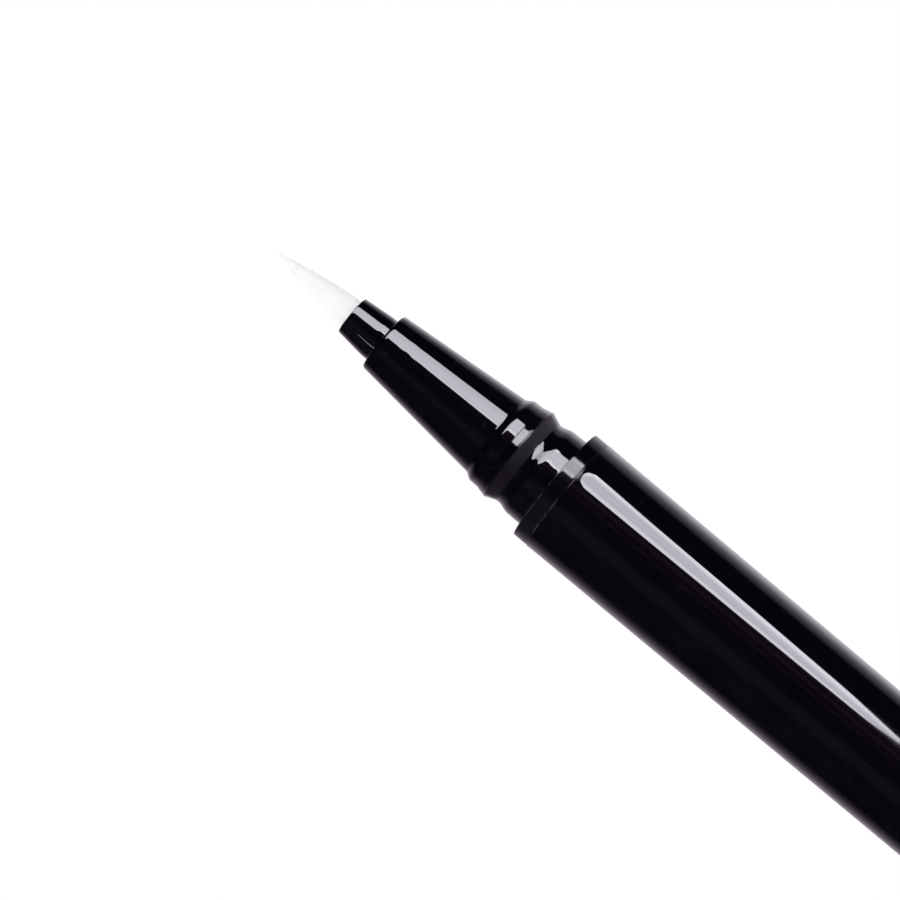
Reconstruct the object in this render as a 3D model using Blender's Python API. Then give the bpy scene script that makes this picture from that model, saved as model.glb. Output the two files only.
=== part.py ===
"""Brush pen for liquid eyeliner, fed by turning its tail. It stands on the tail, brush up.

Metres, +Z up. The origin is the middle of the flat tail, and every axis of motion is the Z axis.
"""

import math

import bmesh
import bpy
from mathutils import Vector

# Barrel, with the ring on its front edge
BARREL_LENGTH = 0.0654
BARREL_DIAMETER = 0.0106
BARREL_DRAFT = 0.00024
BARREL_WALL = 0.00066
BARREL_FRONT_ROUND = 0.00025
BARREL_LIP_LENGTH = 0.0008
BARREL_LIP_MARGIN = 0.00025
RING_LENGTH = 0.00136
RING_STEP = 0.00003

# Knob at the tail, and the gap that lets it turn
KNOB_LENGTH = 0.0240
KNOB_STEP = 0.00006
KNOB_TAPER = 0.0001
KNOB_WALL = 0.0009
KNOB_END_WALL = 0.0012
KNOB_END_ROUND = 0.0005
KNOB_GROOVE_DEPTH = 0.00015
KNOB_GROOVE_LENGTH = 0.0012
TURNING_GAP = 0.0003

# Neck collar: lengths from the ring's front up to the seam with the nose cone
NECK_LENGTH = 0.0016
NECK_FLARE = 0.00004
WAIST_LENGTH = 0.00115
WAIST_DEPTH = 0.00027
WAIST_FLOOR_LENGTH = 0.00015
BEAD_REAR_LENGTH = 0.00113
BEAD_FRONT_LENGTH = 0.00079
BEAD_HEIGHT = 0.00015
SEAM_DEPTH = 0.00009
NECK_PLUG_LENGTH = 0.0038
SPIGOT_LENGTH = 0.0077
FRONT_SPIGOT_LENGTH = 0.0032
NECK_BORE_DIAMETER = 0.0034
NECK_FRONT_BORE_DIAMETER = 0.0028

# Nose cone
SKIRT_LENGTH = 0.0009
SKIRT_TAPER = 0.00003
SKIRT_SHOULDER_LENGTH = 0.00087
CONE_LENGTH = 0.01202
SKIRT_STEP = 0.00044
CONE_FRONT_DIAMETER = 0.0053
CONE_FRONT_ROUND = 0.0002
CONE_WALL = 0.00064
CONE_FRONT_WALL = 0.00053
CONE_LAND_LENGTH = 0.0035

# Brush holder and brush
HOLDER_EXPOSED_LENGTH = 0.00338
HOLDER_TAPER = 0.00027
HOLDER_FRONT_WALL = 0.0003
HOLDER_FLANGE_WIDTH = 0.00031
HOLDER_FLANGE_LENGTH = 0.0012
HOLDER_WEB_LENGTH = 0.001
BRUSH_EXPOSED_LENGTH = 0.00809
BRUSH_RECESS = 0.0005
BRUSH_BORE_DEPTH_SHARE = 0.8
STRAND_DIAMETER = 0.00011
STRAND_PITCH = 0.000136
STRAND_ROOT_SINK = 0.00006
STRAND_END_DIAMETER = 0.000003

# Feed: pipe, joint, ball and its seat
PIPE_DIAMETER = 0.0009
PIPE_WALL = 0.0002
PIPE_SEAT_DEPTH = 0.004
JOINT_FLANGE_LENGTH = 0.0008
JOINT_FLANGE_WIDTH = 0.0008
JOINT_NOSE_LENGTH = 0.003
JOINT_NOSE_WALL = 0.00065
JOINT_TAIL_LENGTH = 0.01
JOINT_BORE_DIAMETER = 0.0006
BALL_SEAT_LENGTH = 0.0042
BALL_SEAT_WALL = 0.00042
BALL_SEAT_LIP_LENGTH = 0.0007
BALL_SEAT_LIP_WIDTH = 0.00028
MIXING_BALL_DIAMETER = 0.0018

# Tank, its O-ring and the piston
TANK_WALL = 0.00075
SEAL_GROOVE_DEPTH = 0.00055
SEAL_GROOVE_LENGTH = 0.0009
SEAL_SETBACK = 0.0032
PISTON_LENGTH = 0.0053
PISTON_LIP_LENGTH = 0.0008
PISTON_WAIST_DEPTH = 0.00045
PISTON_DISH_DEPTH = 0.001
PISTON_DISH_WALL = 0.00075
PISTON_FRONT_RESERVE = 0.002

# Screw rod, nut and the drive inside the rear of the barrel
ROD_DIAMETER = 0.0025
ROD_FLAT_DEPTH = 0.0003
ROD_KEY_OVERLAP = 0.0026
ROD_NECK_DEPTH = 0.00045
ROD_NECK_LENGTH = 0.0007
ROD_HEAD_STEP = 0.00015
ROD_HEAD_LENGTH = 0.0009
NUT_LENGTH = 0.004
NUT_SPIGOT_LENGTH = 0.0015
DRIVE_HEAD_LENGTH = 0.0049
DRIVE_KEY_LENGTH = 0.003
DRIVE_PLUG_LENGTH = 0.011
DRIVE_PLUG_WALL = 0.0009
DRIVE_STEM_BORE_MARGIN = 0.0004
DRIVE_RIB_WIDTH = 0.001
RATCHET_LENGTH = 0.004
RATCHET_WALL = 0.0005
TOOTH_HEIGHT = 0.00035
CLICK_RING_LENGTH = 0.0024
CLICK_RING_WALL = 0.00035
CLICK_RING_MARGIN = 0.0004
PAWL_THICKNESS = 0.00022

# Clearances
FIT_CLEARANCE = 0.0001
SLIDE_CLEARANCE = 0.00007
END_CLEARANCE = 0.0003
EDGE_BREAK = 0.00006
OVERRUN = 0.0005
WELD_DISTANCE = 0.0000001

# Counts and shares
CASE_SIDES = 32
INNER_SIDES = 24
SMALL_SIDES = 16
BALL_SEGMENTS = 12
BALL_RINGS = 8
TOOTH_COUNT = 24
TOOTH_EDGE_SHARE = 0.03
PAWL_COUNT = 3
PAWL_SWEEP_TEETH = 4.5
PAWL_TIP_TEETH = 0.42
PAWL_STEPS = 8
PAWL_LIFT_POWER = 0.6
STRAND_SIDES = 3
STRAND_STATION_SHARES = (0.38, 0.75, 1.0)
INNER_STRAND_END_SHARE = 0.96
OUTER_STRAND_END_SHARE = 0.8
BRUSH_POINT_POWER = 1.5
WAIST_BEND_SHARES = (0.85, 0.25)
KEY_ANGLE = math.pi

# Radii, from the barrel's bore inwards
BARREL_FRONT_RADIUS = BARREL_DIAMETER / 2
BARREL_REAR_RADIUS = BARREL_FRONT_RADIUS - BARREL_DRAFT
BORE_RADIUS = BARREL_REAR_RADIUS - BARREL_WALL
NECK_RADIUS = BORE_RADIUS - FIT_CLEARANCE
TANK_RADIUS = BORE_RADIUS - FIT_CLEARANCE
TANK_BORE_RADIUS = TANK_RADIUS - TANK_WALL
SPIGOT_RADIUS = TANK_BORE_RADIUS - FIT_CLEARANCE
NECK_BORE_RADIUS = NECK_BORE_DIAMETER / 2
PISTON_RADIUS = TANK_BORE_RADIUS - SLIDE_CLEARANCE
KNOB_FRONT_RADIUS = BARREL_REAR_RADIUS - KNOB_STEP
KNOB_REAR_RADIUS = KNOB_FRONT_RADIUS - KNOB_TAPER
KNOB_BORE_RADIUS = KNOB_REAR_RADIUS - KNOB_WALL
DRIVE_PLUG_RADIUS = KNOB_BORE_RADIUS - FIT_CLEARANCE
RATCHET_RADIUS = BORE_RADIUS - FIT_CLEARANCE
TOOTH_ROOT_RADIUS = RATCHET_RADIUS - RATCHET_WALL
TOOTH_CREST_RADIUS = TOOTH_ROOT_RADIUS - TOOTH_HEIGHT
CLICK_RING_RADIUS = TOOTH_CREST_RADIUS - CLICK_RING_MARGIN
CLICK_RING_BORE_RADIUS = CLICK_RING_RADIUS - CLICK_RING_WALL
LIP_RADIUS = CLICK_RING_RADIUS + BARREL_LIP_MARGIN
DRIVE_STEM_RADIUS = CLICK_RING_BORE_RADIUS - FIT_CLEARANCE
ROD_RADIUS = ROD_DIAMETER / 2
ROD_HALF_ACROSS_FLATS = ROD_RADIUS - ROD_FLAT_DEPTH
ROD_NECK_RADIUS = ROD_RADIUS - ROD_NECK_DEPTH
ROD_HEAD_RADIUS = ROD_RADIUS - ROD_HEAD_STEP
DRIVE_BORE_RADIUS = ROD_RADIUS + DRIVE_STEM_BORE_MARGIN

# Radii of the nose, from the cone inwards
SEAM_RADIUS = NECK_RADIUS - SEAM_DEPTH
SKIRT_RADIUS = SEAM_RADIUS - SKIRT_TAPER
CONE_BASE_RADIUS = SKIRT_RADIUS - SKIRT_STEP
CONE_FRONT_RADIUS = CONE_FRONT_DIAMETER / 2
CONE_BORE_RADIUS = CONE_BASE_RADIUS - CONE_WALL
LAND_RADIUS = CONE_FRONT_RADIUS - CONE_FRONT_WALL
FRONT_SPIGOT_RADIUS = CONE_BORE_RADIUS - FIT_CLEARANCE
FRONT_BORE_RADIUS = NECK_FRONT_BORE_DIAMETER / 2
HOLDER_RADIUS = LAND_RADIUS - FIT_CLEARANCE
HOLDER_FRONT_RADIUS = HOLDER_RADIUS - HOLDER_TAPER
HOLDER_BORE_RADIUS = HOLDER_FRONT_RADIUS - HOLDER_FRONT_WALL
HOLDER_FLANGE_RADIUS = HOLDER_RADIUS + HOLDER_FLANGE_WIDTH
BRUSH_RADIUS = HOLDER_BORE_RADIUS - FIT_CLEARANCE
PIPE_RADIUS = PIPE_DIAMETER / 2
PIPE_HOLE_RADIUS = PIPE_RADIUS + FIT_CLEARANCE
JOINT_TAIL_RADIUS = FRONT_BORE_RADIUS - FIT_CLEARANCE
JOINT_FLANGE_RADIUS = JOINT_TAIL_RADIUS + JOINT_FLANGE_WIDTH
JOINT_NOSE_RADIUS = PIPE_HOLE_RADIUS + JOINT_NOSE_WALL
SOCKET_RADIUS = JOINT_NOSE_RADIUS + FIT_CLEARANCE
MIXING_BALL_RADIUS = MIXING_BALL_DIAMETER / 2
BALL_SEAT_RADIUS = NECK_BORE_RADIUS - FIT_CLEARANCE
BALL_BORE_RADIUS = BALL_SEAT_RADIUS - BALL_SEAT_WALL
BALL_LIP_RADIUS = BALL_BORE_RADIUS - BALL_SEAT_LIP_WIDTH
SEAL_BALL_RADIUS = BALL_BORE_RADIUS - SLIDE_CLEARANCE

# Heights of the casing, from the tail up
BARREL_REAR = KNOB_LENGTH + TURNING_GAP
BARREL_FRONT = BARREL_REAR + BARREL_LENGTH
RING_FRONT = BARREL_FRONT + RING_LENGTH
NECK_TOP = RING_FRONT + NECK_LENGTH
WAIST = NECK_TOP + WAIST_LENGTH
BEAD_CREST = WAIST + BEAD_REAR_LENGTH
SEAM = BEAD_CREST + BEAD_FRONT_LENGTH
SKIRT_TOP = SEAM + SKIRT_LENGTH
CONE_BASE = SKIRT_TOP + SKIRT_SHOULDER_LENGTH
CONE_FRONT = CONE_BASE + CONE_LENGTH
HOLDER_FRONT = CONE_FRONT + HOLDER_EXPOSED_LENGTH
BRUSH_TIP = HOLDER_FRONT + BRUSH_EXPOSED_LENGTH

# Heights of the drive and the tank
RATCHET_REAR = BARREL_REAR + BARREL_LIP_LENGTH
RATCHET_FRONT = RATCHET_REAR + RATCHET_LENGTH
CLICK_RING_REAR = RATCHET_REAR + (RATCHET_LENGTH - CLICK_RING_LENGTH) / 2
CLICK_RING_FRONT = CLICK_RING_REAR + CLICK_RING_LENGTH
DRIVE_HEAD_REAR = RATCHET_FRONT + END_CLEARANCE
DRIVE_FRONT = DRIVE_HEAD_REAR + DRIVE_HEAD_LENGTH
NUT_REAR = DRIVE_FRONT + END_CLEARANCE
TANK_REAR = NUT_REAR + NUT_LENGTH
NUT_FRONT = TANK_REAR + NUT_SPIGOT_LENGTH
PISTON_REAR = NUT_FRONT + END_CLEARANCE
PISTON_FRONT = PISTON_REAR + PISTON_LENGTH
TANK_FRONT = BARREL_FRONT - NECK_PLUG_LENGTH
SPIGOT_REAR = TANK_FRONT - SPIGOT_LENGTH

# Heights inside the nose
FRONT_SPIGOT_TOP = SEAM + FRONT_SPIGOT_LENGTH
HOLDER_REAR = FRONT_SPIGOT_TOP + JOINT_FLANGE_LENGTH
HOLDER_SOCKET_TOP = HOLDER_REAR + JOINT_NOSE_LENGTH + END_CLEARANCE
BRUSH_ROOT = HOLDER_SOCKET_TOP + HOLDER_WEB_LENGTH
BRUSH_BACKING_TOP = HOLDER_FRONT - BRUSH_RECESS
LAND_REAR = CONE_FRONT - CONE_LAND_LENGTH
PIPE_REAR = HOLDER_REAR + JOINT_NOSE_LENGTH - PIPE_SEAT_DEPTH
BRUSH_BORE_TOP = BRUSH_ROOT + BRUSH_BORE_DEPTH_SHARE * (BRUSH_BACKING_TOP - BRUSH_ROOT)
PIPE_FRONT = BRUSH_BORE_TOP - END_CLEARANCE

# The rod's travel is what the tank and the knob both leave room for
TANK_ROOM = SPIGOT_REAR - PISTON_FRONT_RESERVE - PISTON_FRONT
KNOB_ROOM = DRIVE_FRONT - ROD_KEY_OVERLAP - KNOB_END_WALL - END_CLEARANCE
TRAVEL = min(TANK_ROOM, KNOB_ROOM)
ROD_REAR = DRIVE_FRONT - ROD_KEY_OVERLAP - TRAVEL
ROD_SHOULDER = PISTON_REAR + PISTON_LIP_LENGTH

# Colours are linear RGB
BLACK = ("black_gloss_plastic", (0.0021, 0.0018, 0.0026), 0.08, 0.0)
BLACK_SATIN = ("black_satin_plastic", (0.0035, 0.0031, 0.004), 0.28, 0.0)
CLEAR_WHITE = ("natural_polypropylene", (0.72, 0.74, 0.74), 0.35, 0.0)
WHITE_PLASTIC = ("white_acetal", (0.8, 0.8, 0.78), 0.3, 0.0)
STEEL = ("ball_steel", (0.55, 0.56, 0.58), 0.12, 1.0)
RUBBER = ("seal_rubber", (0.02, 0.02, 0.022), 0.6, 0.0)
FIBRE = ("white_fibre", (0.93, 0.93, 0.92), 0.55, 0.0)


def material(finish):
    name, colour, roughness, metallic = finish
    made = bpy.data.materials.get(name) or bpy.data.materials.new(name)
    made.use_nodes = True
    shader = made.node_tree.nodes["Principled BSDF"]
    shader.inputs["Base Color"].default_value = (*colour, 1.0)
    shader.inputs["Roughness"].default_value = roughness
    shader.inputs["Metallic"].default_value = metallic
    made.diffuse_color = (*colour, 1.0)
    return made


def body(name):
    """An empty on the pen's axis that carries the pieces which move together."""
    empty = bpy.data.objects.new(name, None)
    bpy.context.scene.collection.objects.link(empty)
    return empty


def piece(name, shape, finish, parent, base):
    """An object from a bmesh drawn at assembly heights, with its origin on the axis at its base."""
    bmesh.ops.recalc_face_normals(shape, faces=shape.faces)
    bmesh.ops.translate(shape, verts=shape.verts, vec=Vector((0.0, 0.0, -base)))
    mesh = bpy.data.meshes.new(name)
    shape.to_mesh(mesh)
    shape.free()
    mesh.shade_smooth()
    mesh.set_sharp_from_angle(angle=math.radians(30))
    made = bpy.data.objects.new(name, mesh)
    made.location.z = base
    made.parent = parent
    mesh.materials.append(material(finish))
    bpy.context.scene.collection.objects.link(made)
    return made


def turned(outline, sides, closed=True):
    """Spins an outline of (radius, height) points round the axis. An open one ends on the axis."""
    shape = bmesh.new()
    points = [shape.verts.new((radius, 0.0, height)) for radius, height in outline]
    runs = list(zip(points, points[1:]))
    if closed:
        runs.append((points[-1], points[0]))
    edges = [shape.edges.new(run) for run in runs]
    bmesh.ops.spin(
        shape,
        geom=points + edges,
        axis=(0.0, 0.0, 1.0),
        cent=(0.0, 0.0, 0.0),
        angle=math.tau,
        steps=sides,
        use_merge=True,
    )
    on_axis = [v for v in shape.verts if v.co.x == 0.0 and v.co.y == 0.0]
    bmesh.ops.remove_doubles(shape, verts=on_axis, dist=WELD_DISTANCE)
    return shape


def extruded(outline, bottom, top):
    """A prism from an outline of (x, y) points."""
    shape = bmesh.new()
    face = shape.faces.new([shape.verts.new((x, y, bottom)) for x, y in outline])
    grown = bmesh.ops.extrude_face_region(shape, geom=[face])["geom"]
    risen = [v for v in grown if isinstance(v, bmesh.types.BMVert)]
    bmesh.ops.translate(shape, verts=risen, vec=Vector((0.0, 0.0, top - bottom)))
    return shape


def combine(target, shape, name, operation):
    """Unites a second shape with a piece, or cuts it away."""
    tool = piece(name, shape, BLACK, target.parent, target.location.z)
    tool.hide_render = True
    tool.display_type = "WIRE"
    change = target.modifiers.new(name, "BOOLEAN")
    change.operation = operation
    change.object = tool
    change.solver = "EXACT"


def arc(middle, height, across, along, start, end, steps):
    """Points of an ellipse's arc in the (radius, height) plane. Angles are degrees from +radius."""
    angles = [math.radians(start + (end - start) * k / steps) for k in range(steps + 1)]
    return [
        (middle + across * math.cos(angle), height + along * math.sin(angle))
        for angle in angles
    ]


def round_edge(radius, height, size, start, steps=3):
    """A quarter round of the outer corner (radius, height), going down past it from start."""
    up = 1 if start == 90 else -1
    return arc(radius - size, height - up * size, size, size, start, start - 90, steps)


def swing(shoulder_radius, base_radius, bottom, top, steps):
    """A soft S between two radii, from the top down."""
    points = []
    for k in range(steps + 1):
        share = k / steps
        rise = (1 - math.cos(math.pi * share)) / 2
        radius = base_radius + (shoulder_radius - base_radius) * rise
        points.append((radius, top + (bottom - top) * share))
    return points


def double_flat(radius, half_across, steps=5):
    """A round with two flats, as (x, y) points."""
    reach = math.asin(half_across / radius)
    points = []
    for side in (0.0, math.pi):
        for k in range(steps + 1):
            angle = side - reach + 2 * reach * k / steps
            points.append((radius * math.cos(angle), radius * math.sin(angle)))
    return points


def make_barrel(parent):
    outline = [
        *round_edge(BARREL_FRONT_RADIUS, BARREL_FRONT, BARREL_FRONT_ROUND, 90, 4),
        (BARREL_REAR_RADIUS, BARREL_REAR + EDGE_BREAK),
        (BARREL_REAR_RADIUS - EDGE_BREAK, BARREL_REAR),
        (LIP_RADIUS, BARREL_REAR),
        (LIP_RADIUS, RATCHET_REAR),
        (BORE_RADIUS, RATCHET_REAR),
        (BORE_RADIUS, BARREL_FRONT),
    ]
    return piece("barrel", turned(outline, CASE_SIDES), BLACK, parent, BARREL_REAR)


def make_ring(parent):
    outer = BARREL_FRONT_RADIUS - RING_STEP
    inner = NECK_RADIUS + FIT_CLEARANCE
    outline = [
        (inner, RING_FRONT),
        (outer - EDGE_BREAK, RING_FRONT),
        (outer, RING_FRONT - EDGE_BREAK),
        (outer, BARREL_FRONT + EDGE_BREAK),
        (outer - EDGE_BREAK, BARREL_FRONT),
        (inner, BARREL_FRONT),
    ]
    shape = turned(outline, CASE_SIDES)
    return piece("shoulder_ring", shape, BLACK_SATIN, parent, BARREL_FRONT)


def make_neck(parent):
    """Front spigot, snap bead, waist and neck in sight, then the plug and the sealed spigot."""
    waist = NECK_RADIUS - WAIST_DEPTH
    crest = NECK_RADIUS + BEAD_HEIGHT
    bend = NECK_TOP + WAIST_LENGTH * WAIST_BEND_SHARES[1]
    seal_top = TANK_FRONT - SEAL_SETBACK
    seal_bottom = seal_top - SEAL_GROOVE_LENGTH
    groove = SPIGOT_RADIUS - SEAL_GROOVE_DEPTH
    outline = [
        (FRONT_SPIGOT_RADIUS - EDGE_BREAK, FRONT_SPIGOT_TOP),
        (FRONT_SPIGOT_RADIUS, FRONT_SPIGOT_TOP - EDGE_BREAK),
        (FRONT_SPIGOT_RADIUS, SEAM),
        *arc(SEAM_RADIUS, BEAD_CREST, crest - SEAM_RADIUS, SEAM - BEAD_CREST, 90, 0, 5),
        (waist, WAIST + WAIST_FLOOR_LENGTH / 2),
        (waist, WAIST - WAIST_FLOOR_LENGTH / 2),
        (waist + WAIST_DEPTH * WAIST_BEND_SHARES[0], bend),
        (NECK_RADIUS, NECK_TOP),
        (NECK_RADIUS + NECK_FLARE, RING_FRONT),
        (NECK_RADIUS, RING_FRONT),
        (NECK_RADIUS, TANK_FRONT),
        (SPIGOT_RADIUS, TANK_FRONT),
        (SPIGOT_RADIUS, seal_top),
        (groove, seal_top),
        (groove, seal_bottom),
        (SPIGOT_RADIUS, seal_bottom),
        (SPIGOT_RADIUS, SPIGOT_REAR + EDGE_BREAK),
        (SPIGOT_RADIUS - EDGE_BREAK, SPIGOT_REAR),
        (NECK_BORE_RADIUS, SPIGOT_REAR),
        (NECK_BORE_RADIUS, TANK_FRONT),
        (FRONT_BORE_RADIUS, TANK_FRONT),
        (FRONT_BORE_RADIUS, FRONT_SPIGOT_TOP),
    ]
    return piece("neck_collar", turned(outline, CASE_SIDES), BLACK, parent, SPIGOT_REAR)


def make_neck_seal(parent):
    groove = SPIGOT_RADIUS - SEAL_GROOVE_DEPTH
    middle = (groove + TANK_BORE_RADIUS) / 2
    wire = (TANK_BORE_RADIUS - groove - FIT_CLEARANCE) / 2
    height = TANK_FRONT - SEAL_SETBACK - SEAL_GROOVE_LENGTH / 2
    outline = arc(middle, height, wire, wire, 360, 0, 6)[:-1]
    shape = turned(outline, INNER_SIDES)
    return piece("neck_seal", shape, RUBBER, parent, height)


def make_nose_cone(parent):
    """Skirt over the seam, a soft shoulder, then the cone. The cavity narrows to the front land."""
    cavity_front = HOLDER_FLANGE_RADIUS + FIT_CLEARANCE
    cavity_rear = FRONT_SPIGOT_TOP + END_CLEARANCE
    outline = [
        (LAND_RADIUS, CONE_FRONT),
        *round_edge(CONE_FRONT_RADIUS, CONE_FRONT, CONE_FRONT_ROUND, 90),
        *swing(SKIRT_RADIUS, CONE_BASE_RADIUS, SKIRT_TOP, CONE_BASE, 6),
        (SEAM_RADIUS, SEAM + EDGE_BREAK),
        (SEAM_RADIUS - EDGE_BREAK, SEAM),
        (CONE_BORE_RADIUS, SEAM),
        (CONE_BORE_RADIUS, cavity_rear),
        (cavity_front, LAND_REAR),
        (LAND_RADIUS, LAND_REAR),
    ]
    return piece("nose_cone", turned(outline, CASE_SIDES), BLACK, parent, SEAM)


def make_brush_holder(parent):
    flange_rear = LAND_REAR - HOLDER_FLANGE_LENGTH
    outline = [
        (HOLDER_BORE_RADIUS, HOLDER_FRONT),
        (HOLDER_FRONT_RADIUS - EDGE_BREAK, HOLDER_FRONT),
        (HOLDER_FRONT_RADIUS, HOLDER_FRONT - EDGE_BREAK),
        (HOLDER_RADIUS, CONE_FRONT),
        (HOLDER_RADIUS, LAND_REAR),
        (HOLDER_FLANGE_RADIUS, LAND_REAR),
        (HOLDER_FLANGE_RADIUS, flange_rear),
        (HOLDER_RADIUS, flange_rear),
        (HOLDER_RADIUS, HOLDER_REAR),
        (SOCKET_RADIUS, HOLDER_REAR),
        (SOCKET_RADIUS, HOLDER_SOCKET_TOP),
        (PIPE_HOLE_RADIUS, HOLDER_SOCKET_TOP),
        (PIPE_HOLE_RADIUS, BRUSH_ROOT),
        (HOLDER_BORE_RADIUS, BRUSH_ROOT),
    ]
    shape = turned(outline, INNER_SIDES)
    return piece("brush_holder", shape, BLACK, parent, HOLDER_REAR)


def make_pipe_joint(parent):
    """Tail in the neck's bore, flange on the neck, and a nose in the brush holder."""
    nose_top = HOLDER_REAR + JOINT_NOSE_LENGTH
    tail_rear = FRONT_SPIGOT_TOP - JOINT_TAIL_LENGTH
    outline = [
        (PIPE_HOLE_RADIUS, nose_top),
        (JOINT_NOSE_RADIUS - EDGE_BREAK, nose_top),
        (JOINT_NOSE_RADIUS, nose_top - EDGE_BREAK),
        (JOINT_NOSE_RADIUS, HOLDER_REAR),
        (JOINT_FLANGE_RADIUS, HOLDER_REAR),
        (JOINT_FLANGE_RADIUS, FRONT_SPIGOT_TOP),
        (JOINT_TAIL_RADIUS, FRONT_SPIGOT_TOP),
        (JOINT_TAIL_RADIUS, tail_rear + EDGE_BREAK),
        (JOINT_TAIL_RADIUS - EDGE_BREAK, tail_rear),
        (JOINT_BORE_DIAMETER / 2, tail_rear),
        (JOINT_BORE_DIAMETER / 2, PIPE_REAR),
        (PIPE_HOLE_RADIUS, PIPE_REAR),
    ]
    shape = turned(outline, SMALL_SIDES)
    return piece("pipe_joint", shape, WHITE_PLASTIC, parent, tail_rear)


def make_feed_pipe(parent):
    inner = PIPE_RADIUS - PIPE_WALL
    outline = [
        (inner, PIPE_FRONT),
        (PIPE_RADIUS, PIPE_FRONT),
        (PIPE_RADIUS, PIPE_REAR),
        (inner, PIPE_REAR),
    ]
    shape = turned(outline, SMALL_SIDES)
    return piece("feed_pipe", shape, CLEAR_WHITE, parent, PIPE_REAR)


def make_ball_seat(parent):
    """Sleeve against the step in the neck's bore, with a lip in front of the ball."""
    rear = TANK_FRONT - BALL_SEAT_LENGTH
    lip_rear = TANK_FRONT - BALL_SEAT_LIP_LENGTH
    outline = [
        (BALL_LIP_RADIUS, TANK_FRONT),
        (BALL_SEAT_RADIUS, TANK_FRONT),
        (BALL_SEAT_RADIUS, rear + EDGE_BREAK),
        (BALL_SEAT_RADIUS - EDGE_BREAK, rear),
        (BALL_BORE_RADIUS, rear),
        (BALL_BORE_RADIUS, lip_rear),
        (BALL_LIP_RADIUS, lip_rear),
    ]
    shape = turned(outline, SMALL_SIDES)
    return piece("ball_seat", shape, CLEAR_WHITE, parent, rear)


def make_ball(name, radius, x, height, parent):
    shape = bmesh.new()
    bmesh.ops.create_uvsphere(
        shape, u_segments=BALL_SEGMENTS, v_segments=BALL_RINGS, radius=radius
    )
    made = piece(name, shape, STEEL, parent, 0.0)
    made.location = (x, 0.0, height)
    return made


def make_balls(parent, piston_parent):
    """The seal ball behind its lip, and two mixing balls side by side in the piston's dish."""
    lip_rear = TANK_FRONT - BALL_SEAT_LIP_LENGTH
    below = math.sqrt(SEAL_BALL_RADIUS**2 - BALL_LIP_RADIUS**2) + SLIDE_CLEARANCE
    make_ball("seal_ball", SEAL_BALL_RADIUS, 0.0, lip_rear - below, parent)
    floor = PISTON_FRONT - PISTON_DISH_DEPTH
    height = floor + MIXING_BALL_RADIUS + SLIDE_CLEARANCE
    beside = MIXING_BALL_RADIUS + SLIDE_CLEARANCE / 2
    make_ball("mixing_ball_1", MIXING_BALL_RADIUS, -beside, height, piston_parent)
    make_ball("mixing_ball_2", MIXING_BALL_RADIUS, beside, height, piston_parent)


def make_tank(parent):
    outline = [
        (TANK_BORE_RADIUS, TANK_FRONT),
        (TANK_RADIUS - EDGE_BREAK, TANK_FRONT),
        (TANK_RADIUS, TANK_FRONT - EDGE_BREAK),
        (TANK_RADIUS, TANK_REAR + EDGE_BREAK),
        (TANK_RADIUS - EDGE_BREAK, TANK_REAR),
        (TANK_BORE_RADIUS, TANK_REAR),
    ]
    return piece("tank", turned(outline, CASE_SIDES), CLEAR_WHITE, parent, TANK_REAR)


def make_piston(parent):
    """Two lips with a waist between them, a dish in front and a snap socket behind."""
    waist = PISTON_RADIUS - PISTON_WAIST_DEPTH
    dish = PISTON_RADIUS - PISTON_DISH_WALL
    floor = PISTON_FRONT - PISTON_DISH_DEPTH
    neck = ROD_NECK_RADIUS + FIT_CLEARANCE
    socket = ROD_RADIUS + FIT_CLEARANCE
    socket_rear = ROD_SHOULDER + ROD_NECK_LENGTH - END_CLEARANCE
    socket_top = ROD_SHOULDER + ROD_NECK_LENGTH + ROD_HEAD_LENGTH + SLIDE_CLEARANCE
    outline = [
        (0.0, floor),
        (dish, floor),
        (dish + PISTON_DISH_WALL / 2, PISTON_FRONT),
        (PISTON_RADIUS - EDGE_BREAK, PISTON_FRONT),
        (PISTON_RADIUS, PISTON_FRONT - EDGE_BREAK),
        (PISTON_RADIUS, PISTON_FRONT - PISTON_LIP_LENGTH),
        (waist, PISTON_FRONT - 2 * PISTON_LIP_LENGTH),
        (waist, PISTON_REAR + 2 * PISTON_LIP_LENGTH),
        (PISTON_RADIUS, PISTON_REAR + PISTON_LIP_LENGTH),
        (PISTON_RADIUS, PISTON_REAR),
        (socket, PISTON_REAR),
        (socket, ROD_SHOULDER + SLIDE_CLEARANCE),
        (neck, ROD_SHOULDER + SLIDE_CLEARANCE),
        (neck, socket_rear),
        (socket, socket_rear),
        (socket, socket_top),
        (0.0, socket_top),
    ]
    shape = turned(outline, INNER_SIDES, closed=False)
    return piece("piston", shape, WHITE_PLASTIC, parent, PISTON_REAR)


def make_screw_rod(parent):
    """Shaft with two flats, then a neck and a round head that snaps into the piston."""
    section = double_flat(ROD_RADIUS, ROD_HALF_ACROSS_FLATS)
    shaft = extruded(section, ROD_REAR, ROD_SHOULDER)
    rod = piece("screw_rod", shaft, WHITE_PLASTIC, parent, ROD_REAR)
    head_rear = ROD_SHOULDER + ROD_NECK_LENGTH
    outline = [
        (0.0, head_rear + ROD_HEAD_LENGTH),
        (ROD_NECK_RADIUS, head_rear + ROD_HEAD_LENGTH),
        (ROD_HEAD_RADIUS, head_rear + ROD_HEAD_LENGTH / 2),
        (ROD_HEAD_RADIUS, head_rear),
        (ROD_NECK_RADIUS, head_rear),
        (ROD_NECK_RADIUS, ROD_SHOULDER - OVERRUN),
        (0.0, ROD_SHOULDER - OVERRUN),
    ]
    combine(rod, turned(outline, SMALL_SIDES, closed=False), "screw_rod_head", "UNION")
    return rod


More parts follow.
